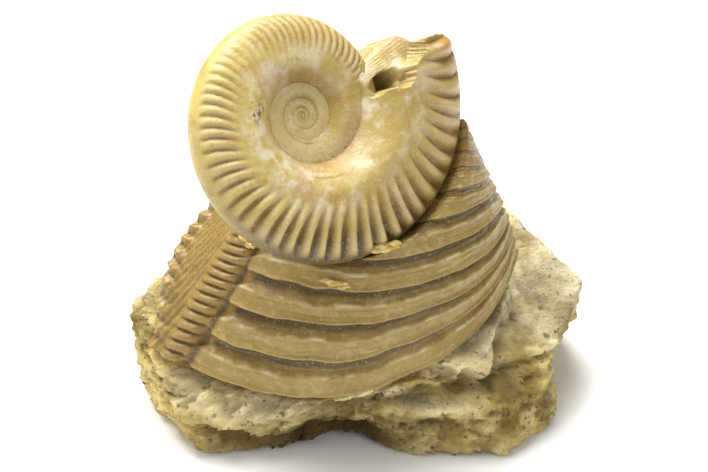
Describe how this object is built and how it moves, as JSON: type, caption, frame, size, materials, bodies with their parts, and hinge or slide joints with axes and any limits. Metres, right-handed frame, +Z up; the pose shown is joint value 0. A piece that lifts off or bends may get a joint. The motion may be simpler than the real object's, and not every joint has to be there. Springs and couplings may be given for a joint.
{
  "type": "ammonite fossil on matrix",
  "caption": "Ribbed spiral ammonite with a broken open end, lying on a ribbed clam valve, both on an uneven chip of limestone that stands on a flat base.",
  "frame": {"origin": "middle of the bounding box, on the flat base", "axes": "+Z up, +X to the right along the longest side, -Y towards the face that shows both shells"},
  "size_m": [0.062, 0.0422, 0.0572],
  "materials": {
    "ammonite_calcite": "polished calcite, tan and cream, with ochre in the grooves",
    "clam_calcite": "waxy brown grey calcite with pale growth lines",
    "limestone": "matt cream to tan limestone, mottled and pitted"
  },
  "bodies": {
    "root": {"ammonite_shell": "ammonite_calcite", "trigonia_valve": "clam_calcite", "limestone_matrix": "limestone"}
  },
  "joints": []
}
